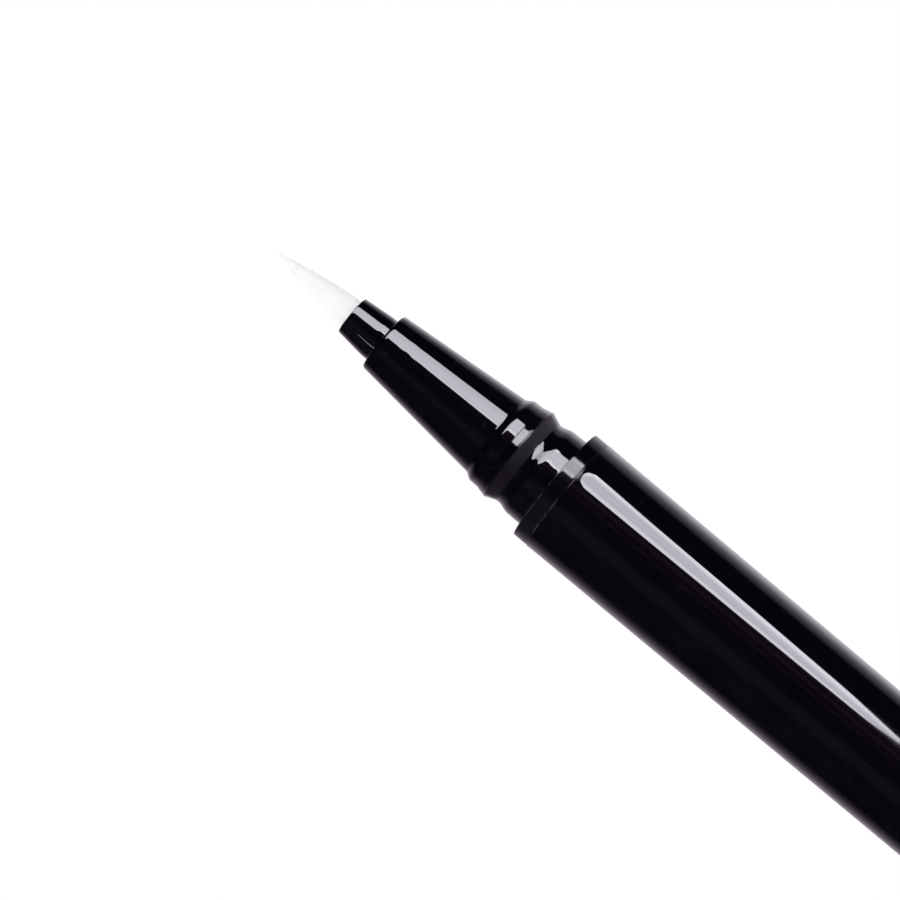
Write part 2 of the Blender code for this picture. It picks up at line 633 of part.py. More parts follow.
def make_thread_nut(parent):
    hole = ROD_RADIUS + FIT_CLEARANCE
    outline = [
        (hole, NUT_FRONT),
        (SPIGOT_RADIUS - EDGE_BREAK, NUT_FRONT),
        (SPIGOT_RADIUS, NUT_FRONT - EDGE_BREAK),
        (SPIGOT_RADIUS, TANK_REAR),
        (TANK_RADIUS, TANK_REAR),
        (TANK_RADIUS, NUT_REAR),
        (hole, NUT_REAR),
    ]
    shape = turned(outline, CASE_SIDES)
    return piece("thread_nut", shape, WHITE_PLASTIC, parent, NUT_REAR)


def backwards(polar):
    """(x, y) points from (radius, angle) ones whose angle runs against the feeding turn."""
    return [(radius * math.cos(angle), -radius * math.sin(angle)) for radius, angle in polar]


def make_ratchet_ring(parent):
    """A ring cut into saw teeth, which let the pawls pass one way only."""
    outline = [
        (RATCHET_RADIUS, RATCHET_FRONT),
        (RATCHET_RADIUS, RATCHET_REAR),
        (TOOTH_CREST_RADIUS - OVERRUN, RATCHET_REAR),
        (TOOTH_CREST_RADIUS - OVERRUN, RATCHET_FRONT),
    ]
    ring = piece("ratchet_ring", turned(outline, CASE_SIDES), WHITE_PLASTIC, parent, RATCHET_REAR)
    step = math.tau / TOOTH_COUNT
    teeth = []
    for k in range(TOOTH_COUNT):
        teeth.append((TOOTH_CREST_RADIUS, (k + TOOTH_EDGE_SHARE) * step))
        teeth.append((TOOTH_ROOT_RADIUS, (k + 1 - TOOTH_EDGE_SHARE) * step))
    cutter = extruded(backwards(teeth), RATCHET_REAR - OVERRUN, RATCHET_FRONT + OVERRUN)
    combine(ring, cutter, "ratchet_tooth_cutter", "DIFFERENCE")
    return ring


def pawl_outline(start):
    """An arm that leaves the ring, follows it round and ends in a tooth that drops into a root."""
    step = math.tau / TOOTH_COUNT
    sweep = PAWL_SWEEP_TEETH * step
    inner_start = CLICK_RING_RADIUS - CLICK_RING_WALL / 2
    outer_end = TOOTH_CREST_RADIUS - FIT_CLEARANCE
    outer, inner = [], []
    for k in range(PAWL_STEPS + 1):
        share = k / PAWL_STEPS
        angle = start + sweep * share
        lift = share**PAWL_LIFT_POWER
        centre = inner_start + (outer_end - PAWL_THICKNESS / 2 - inner_start) * lift
        outer.append((centre + PAWL_THICKNESS / 2, angle))
        inner.append((centre - PAWL_THICKNESS / 2, angle))
    end = start + sweep + PAWL_TIP_TEETH * step
    tip = (TOOTH_ROOT_RADIUS - FIT_CLEARANCE, end)
    heel = (outer_end - PAWL_THICKNESS, end)
    return backwards([*outer, tip, heel, *reversed(inner)])


def make_click_ring(parent):
    """A split spring ring round the drive sleeve's rib, with three pawls."""
    half_gap = (DRIVE_RIB_WIDTH / 2 + FIT_CLEARANCE) / CLICK_RING_BORE_RADIUS
    steps = INNER_SIDES
    angles = [
        KEY_ANGLE + half_gap + (math.tau - 2 * half_gap) * k / steps for k in range(steps + 1)
    ]
    around = [(CLICK_RING_RADIUS, a) for a in angles]
    around += [(CLICK_RING_BORE_RADIUS, a) for a in reversed(angles)]
    outline = [(r * math.cos(a), r * math.sin(a)) for r, a in around]
    shape = extruded(outline, CLICK_RING_REAR, CLICK_RING_FRONT)
    ring = piece("click_ring", shape, WHITE_PLASTIC, parent, CLICK_RING_REAR)
    step = math.tau / TOOTH_COUNT
    for k in range(PAWL_COUNT):
        tip_tooth = k * TOOTH_COUNT // PAWL_COUNT + 2
        start = (tip_tooth + 0.5 - PAWL_SWEEP_TEETH) * step
        pawl = extruded(pawl_outline(start), CLICK_RING_REAR, CLICK_RING_FRONT)
        combine(ring, pawl, f"click_ring_pawl_{k + 1}", "UNION")
    return ring


def make_drive_sleeve(parent):
    """Hollow plug in the knob, a stem through the ratchet, and a head that grips the rod's flats."""
    plug_rear = KNOB_LENGTH - DRIVE_PLUG_LENGTH
    plug_bore = DRIVE_PLUG_RADIUS - DRIVE_PLUG_WALL
    plug_floor = KNOB_LENGTH - DRIVE_PLUG_WALL
    groove = groove_heights()
    head = BORE_RADIUS - FIT_CLEARANCE
    outline = [
        (DRIVE_BORE_RADIUS, DRIVE_FRONT),
        (head - EDGE_BREAK, DRIVE_FRONT),
        (head, DRIVE_FRONT - EDGE_BREAK),
        (head, DRIVE_HEAD_REAR),
        (DRIVE_STEM_RADIUS, DRIVE_HEAD_REAR),
        (DRIVE_STEM_RADIUS, CLICK_RING_REAR),
        (CLICK_RING_RADIUS, CLICK_RING_REAR),
        (CLICK_RING_RADIUS, KNOB_LENGTH),
        (DRIVE_PLUG_RADIUS, KNOB_LENGTH),
        (DRIVE_PLUG_RADIUS, groove[1] - FIT_CLEARANCE),
        (DRIVE_PLUG_RADIUS + KNOB_GROOVE_DEPTH, (groove[0] + groove[1]) / 2),
        (DRIVE_PLUG_RADIUS, groove[0] + FIT_CLEARANCE),
        (DRIVE_PLUG_RADIUS, plug_rear + EDGE_BREAK),
        (DRIVE_PLUG_RADIUS - EDGE_BREAK, plug_rear),
        (plug_bore, plug_rear),
        (plug_bore, plug_floor),
        (DRIVE_BORE_RADIUS, plug_floor),
    ]
    sleeve = piece(
        "drive_sleeve", turned(outline, INNER_SIDES), WHITE_PLASTIC, parent, plug_rear
    )
    rib = (DRIVE_STEM_RADIUS + CLICK_RING_RADIUS) / 2
    near = (DRIVE_BORE_RADIUS + DRIVE_STEM_RADIUS) / 2
    half = DRIVE_RIB_WIDTH / 2
    rib_outline = [(-rib, -half), (-near, -half), (-near, half), (-rib, half)]
    rib_shape = extruded(rib_outline, CLICK_RING_REAR - EDGE_BREAK, CLICK_RING_FRONT)
    combine(sleeve, rib_shape, "drive_sleeve_rib", "UNION")
    add_key(sleeve)
    return sleeve


def add_key(sleeve):
    """Closes the head's bore but for a hole with two flats."""
    key_rear = DRIVE_FRONT - DRIVE_KEY_LENGTH
    grown = (DRIVE_BORE_RADIUS + DRIVE_STEM_RADIUS) / 2
    disc = [(grown, DRIVE_FRONT - EDGE_BREAK), (grown, key_rear)]
    disc = [(0.0, DRIVE_FRONT - EDGE_BREAK), *disc, (0.0, key_rear)]
    combine(sleeve, turned(disc, INNER_SIDES, closed=False), "drive_key_disc", "UNION")
    hole = double_flat(ROD_RADIUS + FIT_CLEARANCE, ROD_HALF_ACROSS_FLATS + SLIDE_CLEARANCE)
    cutter = extruded(hole, key_rear - OVERRUN, DRIVE_FRONT + OVERRUN)
    combine(sleeve, cutter, "drive_key_cutter", "DIFFERENCE")


def groove_heights():
    """(bottom, top) of the snap groove that holds the drive sleeve in the knob."""
    bottom = KNOB_LENGTH - DRIVE_PLUG_LENGTH / 2 - KNOB_GROOVE_LENGTH / 2
    return bottom, bottom + KNOB_GROOVE_LENGTH


def make_knob(parent):
    bottom, top = groove_heights()
    groove = KNOB_BORE_RADIUS + KNOB_GROOVE_DEPTH
    outline = [
        (0.0, KNOB_END_WALL),
        (KNOB_BORE_RADIUS, KNOB_END_WALL),
        (KNOB_BORE_RADIUS, bottom),
        (groove, bottom + KNOB_GROOVE_DEPTH),
        (groove, top - KNOB_GROOVE_DEPTH),
        (KNOB_BORE_RADIUS, top),
        (KNOB_BORE_RADIUS, KNOB_LENGTH),
        (KNOB_FRONT_RADIUS - EDGE_BREAK, KNOB_LENGTH),
        (KNOB_FRONT_RADIUS, KNOB_LENGTH - EDGE_BREAK),
        *round_edge(KNOB_REAR_RADIUS, 0.0, KNOB_END_ROUND, 0, 4),
        (0.0, 0.0),
    ]
    shape = turned(outline, CASE_SIDES, closed=False)
    return piece("knob", shape, BLACK, parent, 0.0)


def brush_stations():
    """(height, share of its full width) of the brush where the fibres bend, root first."""
    stations = [(BRUSH_BACKING_TOP - STRAND_ROOT_SINK, 1.0)]
    for share in STRAND_STATION_SHARES:
        height = HOLDER_FRONT + share * BRUSH_EXPOSED_LENGTH
        stations.append((height, 1.0 - share**BRUSH_POINT_POWER))
    return stations


def strand_roots():
    """A triangular grid of places across the brush, the middle one first."""
    reach = BRUSH_RADIUS - STRAND_DIAMETER / 2 - EDGE_BREAK / 2
    rows = int(reach / (STRAND_PITCH * math.sqrt(3) / 2)) + 1
    columns = int(reach / STRAND_PITCH) + 1
    roots = []
    for row in range(-rows, rows + 1):
        for column in range(-columns - 1, columns + 2):
            x = (column + (row % 2) / 2) * STRAND_PITCH
            y = row * STRAND_PITCH * math.sqrt(3) / 2
            if math.hypot(x, y) <= reach:
                roots.append((x, y))
    return sorted(roots, key=lambda root: math.hypot(*root))


def strand_end(x, y):
    """The height where a fibre ends. The middle one makes the point, the outer ones stop short."""
    outward = math.hypot(x, y) / BRUSH_RADIUS
    if outward == 0.0:
        return BRUSH_TIP
    fall = (INNER_STRAND_END_SHARE - OUTER_STRAND_END_SHARE) * outward**2
    return HOLDER_FRONT + (INNER_STRAND_END_SHARE - fall) * BRUSH_EXPOSED_LENGTH


def add_strand(shape, x, y, stations):
    """One fibre. All bend at the same heights and draw in alike, so none crosses another."""
    end = strand_end(x, y)
    passed = [station for station in stations if station[0] < end]
    below, above = passed[-1], stations[len(passed)]
    climb = (end - below[0]) / (above[0] - below[0])
    end_width = below[1] + (above[1] - below[1]) * climb
    rings = [(height, width, STRAND_DIAMETER / 2 * width) for height, width in passed]
    rings.append((end, end_width, STRAND_END_DIAMETER / 2))
    loops = []
    for height, width, radius in rings:
        loop = []
        for k in range(STRAND_SIDES):
            turn = math.tau * k / STRAND_SIDES
            across = x * width + radius * math.cos(turn)
            along = y * width + radius * math.sin(turn)
            loop.append(shape.verts.new((across, along, height)))
        loops.append(loop)
    shape.faces.new(loops[0])
    shape.faces.new(loops[-1])
    for lower, upper in zip(loops, loops[1:]):
        for k in range(STRAND_SIDES):
            after = (k + 1) % STRAND_SIDES
            shape.faces.new((lower[k], lower[after], upper[after], upper[k]))


def make_brush(parent):
    """Bonded root with a blind bore for the pipe, and the fibres that stand on it."""
    outline = [
        (0.0, BRUSH_BACKING_TOP),
        (BRUSH_RADIUS, BRUSH_BACKING_TOP),
        (BRUSH_RADIUS, BRUSH_ROOT),
        (PIPE_HOLE_RADIUS, BRUSH_ROOT),
        (PIPE_HOLE_RADIUS, BRUSH_BORE_TOP),
        (0.0, BRUSH_BORE_TOP),
    ]
    shape = turned(outline, SMALL_SIDES, closed=False)
    brush = piece("brush_tuft", shape, FIBRE, parent, BRUSH_ROOT)
    strands = bmesh.new()
    stations = brush_stations()
    for x, y in strand_roots():
        add_strand(strands, x, y, stations)
    combine(brush, strands, "brush_strands", "UNION")
    return brush


def clear_scene():
    for old in list(bpy.data.objects):
        bpy.data.objects.remove(old)


def main():
    clear_scene()
    case = body("case")
    turning = body("knob_axis")
    feeding = body("rod_axis")
    pushing = body("piston_axis")
    turning.parent = case
    feeding.parent = turning
    pushing.parent = case

    make_barrel(case)
    make_ring(case)
    make_neck(case)
    make_neck_seal(case)
    make_nose_cone(case)
    make_brush_holder(case)
    make_pipe_joint(case)
    make_feed_pipe(case)
    make_ball_seat(case)
    make_balls(case, pushing)
    make_tank(case)
    make_thread_nut(case)
    make_ratchet_ring(case)
    make_brush(case)
    make_piston(pushing)
    make_screw_rod(feeding)
    make_drive_sleeve(turning)
    make_click_ring(turning)
    make_knob(turning)
    print(f"strands {len(strand_roots())}, rod travel {1000 * TRAVEL:.2f} mm")


main()
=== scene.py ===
"""Looks of the brush pen: glossy black mouldings, a fibre brush, a soft key lamp, a pale floor.

Sizes are in millimetres here and become metres where a mesh is made. The pen stands on its tail.
"""

import math
import random

import bmesh
import bpy
from mathutils import Matrix, Vector, noise


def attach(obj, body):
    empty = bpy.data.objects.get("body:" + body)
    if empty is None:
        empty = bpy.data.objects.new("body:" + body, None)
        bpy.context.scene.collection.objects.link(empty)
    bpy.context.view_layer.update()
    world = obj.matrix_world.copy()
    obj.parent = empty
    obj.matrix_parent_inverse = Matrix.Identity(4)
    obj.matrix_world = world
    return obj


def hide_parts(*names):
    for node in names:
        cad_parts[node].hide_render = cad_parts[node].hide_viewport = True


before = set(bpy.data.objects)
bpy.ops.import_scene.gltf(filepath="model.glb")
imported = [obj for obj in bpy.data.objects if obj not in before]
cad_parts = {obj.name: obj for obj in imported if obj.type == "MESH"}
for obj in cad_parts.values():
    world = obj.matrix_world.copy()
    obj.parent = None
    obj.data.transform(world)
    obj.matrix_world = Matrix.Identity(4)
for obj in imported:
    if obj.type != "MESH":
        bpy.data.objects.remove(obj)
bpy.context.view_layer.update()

MM = 0.001
SIDES = 144

# Heights and radii of the solids, tail up
KNOB_LENGTH = 24.0
KNOB_REAR_RADIUS = 4.90
KNOB_FRONT_RADIUS = 5.00
KNOB_BORE_RADIUS = 4.00
SEAM_STEP_RADIUS = 4.72
BARREL_REAR = 24.3
BARREL_FRONT = 89.7
BARREL_REAR_RADIUS = 5.06
BARREL_FRONT_RADIUS = 5.30
BARREL_BORE_RADIUS = 4.40
BARREL_LIP_RADIUS = 3.30
RING_FRONT = 91.06
RING_RADIUS = 5.27
NECK_RADIUS = 4.30
NECK_TOP = 92.55
WAIST = 93.82
WAIST_RADIUS = 4.03
BEAD_CREST = 94.94
BEAD_ROUND_RADIUS = 4.35
SEAM = 95.73
SKIRT_TOP = 96.63
SKIRT_RADIUS = 4.19
CONE_BASE = 97.50
CONE_BASE_RADIUS = 3.79
CONE_FRONT = 109.52
CONE_FRONT_RADIUS = 2.69
HOLDER_FRONT = 112.90
HOLDER_RADIUS = 2.02
HOLDER_FRONT_RADIUS = 1.75
HOLDER_BORE_RADIUS = 1.45
BRUSH_RADIUS = 1.35
BRUSH_TIP = 120.99
BRUSH_ROOT = 104.0
FIBRE_PITCH = 0.074
FIBRE_THICKNESS = 0.037

# Hidden bores, spigots and flanges
FRONT_BORE_RADIUS = 1.4
BALL_BORE_RADIUS = 1.7
FRONT_SPIGOT_RADIUS = 3.0
FRONT_SPIGOT_END = 98.93
NECK_PLUG_REAR = 85.9
TANK_SPIGOT_RADIUS = 3.45
TANK_SPIGOT_REAR = 78.2
CONE_BORE_RADIUS = 3.1
LAND_RADIUS = 2.12
LAND_REAR = 106.0
FLANGE_RADIUS = 2.33
PIPE_HOLE_RADIUS = 0.55

# Camera
CAMERA_PLACE = Vector((0.0, -0.780, 0.02506))
CAMERA_AIM = Vector((-0.003332, 0.0, 0.099561))
CAMERA_ROLL = math.radians(50.08)
FOCAL_PIXELS = 9535.5
FRAME_PIXELS = 900
SENSOR = 36.0

# Key lamp: its outline as seen from the nose, (azimuth from the camera towards +X, elevation)
LAMP_CENTRE = (42.0, 20.0)
LAMP_DISTANCE = 2.4
LAMP_EYE = Vector((0.0, 0.0, 0.095))
LAMP_OUTLINE = (
    (35.5, 1.3), (42.0, 0.9), (48.0, 0.9), (55.5, 1.6), (59.0, 2.6), (60.5, 3.7), (63.0, 4.05),
    (64.0, 4.6), (63.6, 6.0), (63.2, 8.0), (62.0, 14.0), (60.5, 19.0), (58.0, 25.0), (55.5, 31.0),
    (52.0, 36.5), (47.0, 41.0), (40.0, 43.0), (30.0, 43.5), (23.0, 42.0), (15.5, 37.0),
    (12.0, 31.0), (13.0, 25.0), (16.5, 21.0), (20.0, 17.5), (22.5, 14.0), (24.5, 11.0),
    (26.5, 8.5), (28.5, 6.0), (29.0, 4.6), (29.4, 3.9), (31.1, 3.1), (32.2, 2.4),
)
LAMP_COLOUR = (0.975, 0.94, 1.05)
LAMP_STRENGTH = 5.7

# Soft strips seen in reflections only: azimuth from and to, blur, all in radians, and glow
STRIPS = ((0.57, 0.90, 0.05, 3.2), (-3.12, -2.75, 0.10, 1.4))


# Meshes

def mesh_piece(name, shape):
    mesh = bpy.data.meshes.new(name)
    shape.to_mesh(mesh)
    shape.free()
    made = bpy.data.objects.new(name, mesh)
    bpy.context.scene.collection.objects.link(made)
    return made


def arc(radius, height, across, along, start, end, steps):
    """Points of an ellipse's arc. Angles are degrees from outwards, towards the tip."""
    points = []
    for k in range(steps + 1):
        angle = math.radians(start + (end - start) * k / steps)
        points.append((radius + across * math.cos(angle), height + along * math.sin(angle)))
    return points


def follow(radius_at, top, bottom, step):
    """Points down a curved flank whose radius is given by a function of height."""
    count = max(2, round((top - bottom) / step))
    heights = [top + (bottom - top) * k / count for k in range(count + 1)]
    return [(radius_at(height), height) for height in heights]


def ease(share):
    share = min(max(share, 0.0), 1.0)
    return share * share * (3.0 - 2.0 * share)


def lathe(name, outline, wave=None, sides=SIDES):
    """Turns a closed outline of (radius, height), given in millimetres, into a smooth solid."""
    shape = bmesh.new()
    rings = []
    for radius, height in outline:
        ring = []
        for k in range(sides):
            angle = math.tau * k / sides
            reach = radius + (wave(radius, angle, height) if wave else 0.0)
            place = (reach * math.cos(angle) * MM, reach * math.sin(angle) * MM, height * MM)
            ring.append(shape.verts.new(place))
        rings.append(ring)
    for upper, lower in zip(rings, rings[1:] + rings[:1]):
        for k in range(sides):
            after = (k + 1) % sides
            shape.faces.new((upper[k], lower[k], lower[after], upper[after]))
    bmesh.ops.recalc_face_normals(shape, faces=shape.faces)
    made = mesh_piece(name, shape)
    made.data.shade_smooth()
    made.data.set_sharp_from_angle(angle=math.radians(32))
    return made


def ripple(size, amount, seed):
    """Slow waves that a moulding's shrinkage leaves in its surface."""
    def wave(radius, angle, height):
        across = radius * math.cos(angle) / size
        beside = radius * math.sin(angle) / size
        return amount * noise.noise(Vector((across, beside, height / size + seed)))
    return wave


def place_in_row(piece, body, node, look):
    piece.data.materials.append(look)
    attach(piece, body)
    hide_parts(node)
    return piece


def barrel_radius(height):
    share = (height - BARREL_REAR) / (BARREL_FRONT - BARREL_REAR)
    flare = max(0.0, 1.0 - (BARREL_FRONT - 0.1 - height) / 0.9)
    body = BARREL_REAR_RADIUS + (BARREL_FRONT_RADIUS - 0.008 - BARREL_REAR_RADIUS) * share
    return body + 0.018 * flare * flare


def make_barrel():
    edge = 0.03
    front = barrel_radius(BARREL_FRONT - edge)
    outline = [
        (BARREL_BORE_RADIUS, BARREL_FRONT),
        *arc(front - edge, BARREL_FRONT - edge, edge, edge, 90, 0, 5),
        (front, BARREL_FRONT - edge - 0.012),
        *follow(barrel_radius, BARREL_FRONT - 0.1, BARREL_FRONT - 1.3, 0.08),
        *follow(barrel_radius, BARREL_FRONT - 1.9, BARREL_REAR + 0.1, 0.9),
        *arc(BARREL_REAR_RADIUS - 0.06, BARREL_REAR + 0.06, 0.06, 0.06, 0, -90, 4),
        (BARREL_LIP_RADIUS, BARREL_REAR),
        (BARREL_LIP_RADIUS, BARREL_REAR + 0.8),
        (BARREL_BORE_RADIUS, BARREL_REAR + 0.8),
    ]
    return lathe("pen_barrel", outline, ripple(7.0, 0.004, 3.0))


def make_knob():
    def flank(height):
        share = height / KNOB_LENGTH
        return KNOB_REAR_RADIUS + (KNOB_FRONT_RADIUS - KNOB_REAR_RADIUS) * share

    step = KNOB_LENGTH + 0.27
    outline = [
        (KNOB_BORE_RADIUS, step),
        (SEAM_STEP_RADIUS, step),
        (SEAM_STEP_RADIUS, KNOB_LENGTH),
        *arc(KNOB_FRONT_RADIUS - 0.08, KNOB_LENGTH - 0.08, 0.08, 0.08, 90, 0, 4),
        *follow(flank, KNOB_LENGTH - 0.5, 0.6, 0.9),
        *arc(KNOB_REAR_RADIUS - 0.5, 0.5, 0.5, 0.5, 0, -90, 9),
        (3.6, 0.0),
        (3.4, 0.03),
        (0.6, 0.05),
        (0.45, 0.12),
        (0.002, 0.12),
        (0.002, 1.2),
        (KNOB_BORE_RADIUS, 1.2),
    ]
    return lathe("pen_knob", outline, ripple(6.0, 0.003, 11.0))


def make_ring():
    edge = 0.045
    outline = [
        (BARREL_BORE_RADIUS, RING_FRONT),
        *arc(RING_RADIUS - edge, RING_FRONT - edge, edge, edge, 90, 0, 4),
        *follow(lambda height: RING_RADIUS, RING_FRONT - 0.15, BARREL_FRONT + 0.15, 0.15),
        *arc(RING_RADIUS - edge, BARREL_FRONT + edge + 0.01, edge, edge, 0, -90, 4),
        (BARREL_BORE_RADIUS, BARREL_FRONT + 0.01),
    ]
    return lathe("pen_shoulder_ring", outline, ripple(1.6, 0.003, 21.0))


def neck_radius(height):
    """Down the neck: the bead's rear slope, the waist, its swing outwards and a slight flare."""
    if height > WAIST + 0.1:
        return WAIST_RADIUS + 0.018 + (height - WAIST - 0.1) * 0.4
    if height > WAIST:
        return WAIST_RADIUS + 1.8 * (height - WAIST) ** 2
    if height > NECK_TOP:
        swing = math.cos(math.pi * (WAIST - height) / (WAIST - NECK_TOP))
        return WAIST_RADIUS + (NECK_RADIUS - WAIST_RADIUS) * (1.0 - swing) / 2.0
    flare = (NECK_TOP - height) / (NECK_TOP - RING_FRONT)
    return NECK_RADIUS + 0.012 * flare + 0.028 * flare**3


def neck_wave(radius, angle, height):
    if height > SEAM - 0.02 or height < RING_FRONT or radius < 3.9:
        return 0.0
    place = Vector((radius * math.cos(angle), radius * math.sin(angle), height))
    rough = 0.006 * noise.noise(place / 0.62) + 0.0026 * noise.noise(place / 0.27)
    return rough * ease((SEAM - 0.02 - height) / 0.3)


def make_neck():
    outline = [
        (FRONT_BORE_RADIUS, FRONT_SPIGOT_END),
        (2.95, FRONT_SPIGOT_END),
        (FRONT_SPIGOT_RADIUS, 98.87),
        (FRONT_SPIGOT_RADIUS, SEAM - 0.01),
        *arc(4.25, SEAM - 0.03, 0.02, 0.02, 90, 15, 3),
        *follow(lambda height: 4.27 + 0.22 * (SEAM - 0.06 - height), SEAM - 0.08, 95.08, 0.07),
        *arc(BEAD_ROUND_RADIUS, BEAD_CREST, 0.1, 0.13, 62, -18, 8),
        *follow(neck_radius, 94.84, RING_FRONT + 0.01, 0.05),
        (NECK_RADIUS, RING_FRONT - 0.01),
        (NECK_RADIUS, NECK_PLUG_REAR),
        (TANK_SPIGOT_RADIUS, NECK_PLUG_REAR),
        (TANK_SPIGOT_RADIUS, TANK_SPIGOT_REAR),
        (BALL_BORE_RADIUS, TANK_SPIGOT_REAR),
        (BALL_BORE_RADIUS, NECK_PLUG_REAR),
        (FRONT_BORE_RADIUS, NECK_PLUG_REAR),
    ]
    return lathe("pen_neck_collar", outline, neck_wave)


def cone_radius(height):
    share = (height - CONE_BASE) / (CONE_FRONT - CONE_BASE)
    radius = CONE_BASE_RADIUS + (CONE_FRONT_RADIUS - CONE_BASE_RADIUS) * share
    dent = (height - 107.1) / 0.75
    return radius + 0.008 * math.exp(-dent * dent) * math.sin(2.6 * dent)


def skirt_radius(height):
    if height < SKIRT_TOP:
        return SKIRT_RADIUS + 0.028 * (SKIRT_TOP - height)
    fall = (height - SKIRT_TOP) / (CONE_BASE - SKIRT_TOP)
    return SKIRT_RADIUS + (CONE_BASE_RADIUS - SKIRT_RADIUS) * (1.0 - math.cos(math.pi * fall)) / 2.0


def make_nose_cone():
    edge = 0.17
    outline = [
        (LAND_RADIUS, CONE_FRONT),
        *arc(CONE_FRONT_RADIUS - edge, CONE_FRONT - edge, edge, edge, 90, 8, 7),
        *follow(cone_radius, CONE_FRONT - edge, CONE_BASE + 0.25, 0.17),
        *follow(skirt_radius, CONE_BASE, SEAM + 0.045, 0.06),
        *arc(skirt_radius(SEAM) - 0.02, SEAM + 0.03, 0.02, 0.02, 0, -90, 3),
        (CONE_BORE_RADIUS, SEAM + 0.01),
        (CONE_BORE_RADIUS, 99.3),
        (2.43, LAND_REAR),
        (LAND_RADIUS, LAND_REAR),
    ]
    return lathe("pen_nose_cone", outline, ripple(3.0, 0.0035, 31.0))


def holder_radius(height):
    root = 110.2
    if height < root:
        return HOLDER_RADIUS
    share = (height - root) / (HOLDER_FRONT - root)
    return HOLDER_RADIUS + (HOLDER_FRONT_RADIUS - HOLDER_RADIUS) * share**1.06


def make_brush_holder():
    edge = 0.05
    outline = [
        (HOLDER_BORE_RADIUS, HOLDER_FRONT - 0.03),
        (HOLDER_BORE_RADIUS + 0.03, HOLDER_FRONT),
        *arc(HOLDER_FRONT_RADIUS - edge, HOLDER_FRONT - edge, edge, edge, 90, 6, 4),
        *follow(holder_radius, HOLDER_FRONT - 0.15, CONE_FRONT - 0.4, 0.11),
        (HOLDER_RADIUS, 106.1),
        (FLANGE_RADIUS, 106.05),
        (FLANGE_RADIUS, 104.82),
        (HOLDER_RADIUS, 104.8),
        (HOLDER_RADIUS, 99.73),
        (1.3, 99.73),
        (1.3, 103.0),
        (PIPE_HOLE_RADIUS, 103.0),
        (PIPE_HOLE_RADIUS, BRUSH_ROOT),
        (HOLDER_BORE_RADIUS, BRUSH_ROOT),
    ]
    holder = lathe("pen_brush_holder", outline, ripple(1.5, 0.004, 47.0), 96)
    add_flash_line(holder, -28.7, 109.45, 111.5, 0.036)
    return holder


def add_flash_line(piece, azimuth, bottom, top, height):
    """A thin moulding line along the holder's flank that fades out towards the brush."""
    shape = bmesh.new()
    shape.from_mesh(piece.data)
    turn = math.radians(azimuth)
    rows = []
    for k in range(13):
        share = k / 12
        level = bottom + (top - bottom) * share
        base = holder_radius(level)
        rise = height * max(0.0, 1.0 - share) ** 0.35
        row = []
        for across in (-1.0, -0.7, -0.35, 0.0, 0.35, 0.7, 1.0):
            reach = base - 0.01 + (rise + 0.01) * (1.0 - across * across)
            angle = turn + across * (0.03 + 0.025 * (1.0 - share)) / base
            place = (reach * math.sin(angle) * MM, -reach * math.cos(angle) * MM, level * MM)
            row.append(shape.verts.new(place))
        rows.append(row)
    for lower, upper in zip(rows, rows[1:]):
        for k in range(6):
            face = shape.faces.new((lower[k], lower[k + 1], upper[k + 1], upper[k]))
            face.smooth = True
    shape.to_mesh(piece.data)
    shape.free()


# Brush

def brush_width(share):
    return 1.0 - min(max(share, 0.0), 1.0) ** 1.5


def add_fibre(shape, rng, x, y, outward):
    """One fibre, drawn in with its neighbours to the point, with a tapered end of its own."""
    end = 1.0 - 0.16 * outward * rng.random() - 0.03 * rng.random()
    if outward < 0.06:
        end = 1.0
    lean = rng.uniform(-0.008, 0.008)
    thick = FIBRE_THICKNESS * rng.uniform(0.85, 1.1)
    base = HOLDER_FRONT - 0.45
    length = BRUSH_TIP - HOLDER_FRONT
    loops = []
    for k in range(8):
        share = k / 7
        height = base + (HOLDER_FRONT + end * length - base) * share
        along = (height - HOLDER_FRONT) / length
        width = brush_width(along) * (1.0 - 0.06 * ease((along - 0.4) / 0.3))
        sway = lean * math.sin(math.pi * share)
        radius = thick * (0.35 + 0.65 * width) * min(1.0, (1.02 - share) * 5.0)
        loop = []
        for corner in range(3):
            angle = math.tau * corner / 3 + outward
            place = (
                (x * width + sway + radius * math.cos(angle)) * MM,
                (y * width + lean * share * 0.5 + radius * math.sin(angle)) * MM,
                height * MM,
            )
            loop.append(shape.verts.new(place))
        loops.append(loop)
    for lower, upper in zip(loops, loops[1:]):
        for k in range(3):
            after = (k + 1) % 3
            shape.faces.new((lower[k], lower[after], upper[after], upper[k]))
    shape.faces.new(loops[0][::-1])
    shape.faces.new(loops[-1])


def make_fibres():
    rng = random.Random(7)
    shape = bmesh.new()
    reach = BRUSH_RADIUS - 0.045
    rows = int(reach / (FIBRE_PITCH * 0.866)) + 1
    for row in range(-rows, rows + 1):
        for column in range(-rows - 2, rows + 3):
            x = (column + (row % 2) / 2) * FIBRE_PITCH + rng.uniform(-0.012, 0.012)
            y = row * FIBRE_PITCH * 0.866 + rng.uniform(-0.012, 0.012)
            outward = math.hypot(x, y) / reach
            if outward <= 1.0:
                add_fibre(shape, rng, x, y, outward)
    return mesh_piece("pen_brush_fibres", shape)


